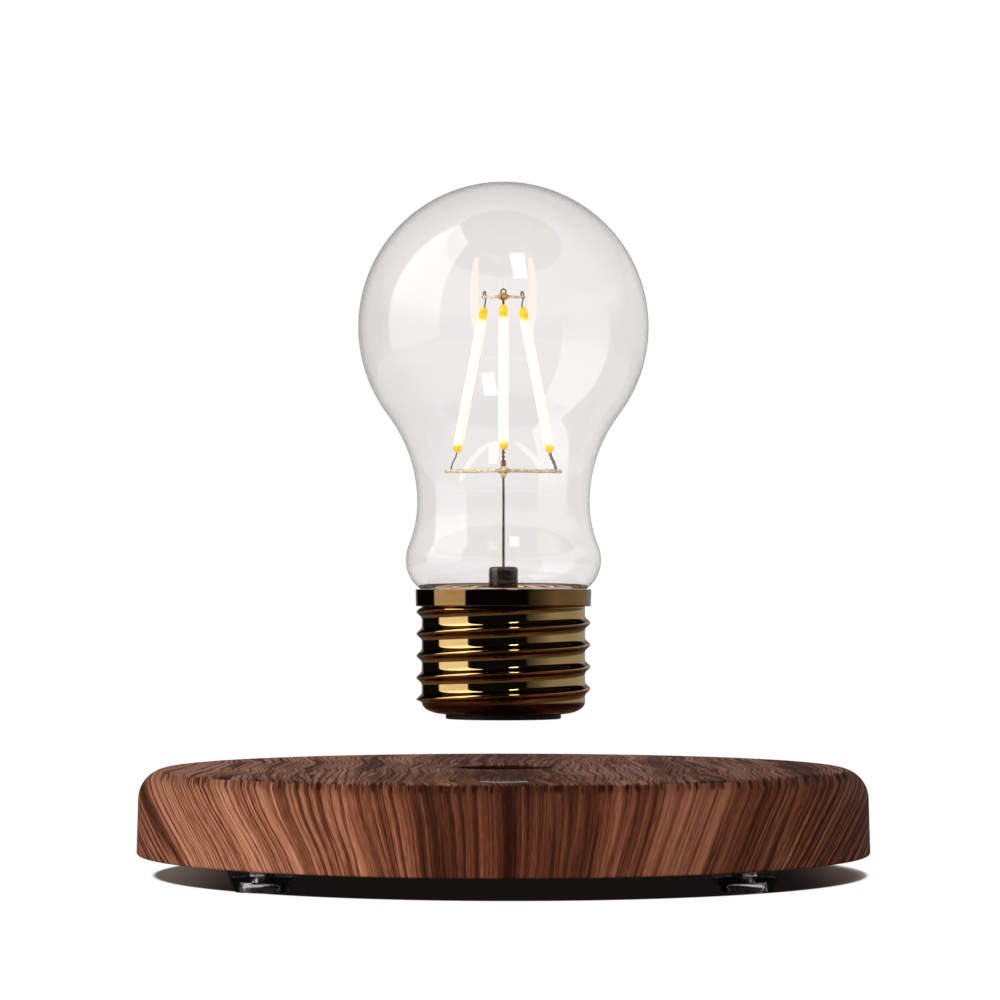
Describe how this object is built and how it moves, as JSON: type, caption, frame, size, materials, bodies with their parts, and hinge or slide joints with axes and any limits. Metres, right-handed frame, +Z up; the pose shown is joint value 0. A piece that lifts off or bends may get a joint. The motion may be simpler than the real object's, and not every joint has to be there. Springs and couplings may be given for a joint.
{
  "type": "levitating light bulb lamp",
  "caption": "Clear light bulb with glowing filaments and a brass screw cap that floats above a low round wood-grain base with clear feet.",
  "frame": {"origin": "middle of the footprint, on the floor under the feet", "axes": "+Z up along the bulb's axis, -Y towards the touch pad at the front, +Y towards the power inlet at the back"},
  "size_m": [0.1506, 0.1506, 0.1429],
  "materials": {
    "wood_grain": "satin striped wood grain",
    "black_plastic": "fine texture",
    "clear_plastic": "clear",
    "screw_steel": "bright",
    "pad_metal": "brushed",
    "contact_brass": "bright",
    "board_green": "solder mask",
    "chip_black": "matt",
    "can_aluminium": "plain",
    "ferrite": "sintered",
    "bobbin_white": "moulded",
    "copper": "enamelled wire",
    "lead_red": "insulated wire",
    "magnet_nickel": "nickel plated",
    "cap_brass": "polished",
    "bulb_glass": "clear",
    "plate_bronze": "polished bronze",
    "ferrule_dark": "glossy",
    "wire_bronze": "drawn wire",
    "spider_gold": "plated",
    "bead_amber": "amber glass",
    "filament_glow": "phosphor coat"
  },
  "bodies": {
    "base": {"base_shell": "wood_grain", "bottom_cover": "black_plastic", "foot_front_left": "clear_plastic", "foot_front_right": "clear_plastic", "foot_back_left": "clear_plastic", "foot_back_right": "clear_plastic", "foot_screws": "screw_steel", "touch_pad": "pad_metal", "touch_contact": "contact_brass", "control_board": "board_green", "board_screws": "screw_steel", "board_chips": "chip_black", "capacitors": "can_aluminium", "hall_sensors": "chip_black", "ring_magnet": "ferrite", "coil_bobbins": "bobbin_white", "coil_windings": "copper", "coil_cores": "screw_steel", "power_coil": "copper", "dc_inlet": "black_plastic", "dc_pin": "contact_brass", "inlet_leads": "lead_red"},
    "float": {"float_magnet": "magnet_nickel"},
    "bulb": {"magnet_cup": "bobbin_white", "receiver_coil": "copper", "receiver_board": "board_green", "receiver_chips": "chip_black", "cap_base": "black_plastic", "screw_cap": "cap_brass", "glass_envelope": "bulb_glass", "stem_plate": "plate_bronze", "ferrule": "ferrule_dark", "low_lead": "wire_bronze", "high_lead": "wire_bronze", "hub_bead": "bead_amber", "low_spider": "spider_gold", "high_spider": "spider_gold", "filament_front": "filament_glow", "filament_left": "filament_glow", "filament_right": "filament_glow", "filament_tabs": "wire_bronze"}
  },
  "joints": [
    {"name": "bulb_lift", "type": "slide", "parent": "base", "child": "float", "axis": [0, 0, 1], "range_m": [0, 0.12]},
    {"name": "bulb_spin", "type": "hinge", "parent": "float", "child": "bulb", "pos_m": [0, 0, 0.042], "axis": [0, 0, 1], "continuous": true}
  ]
}
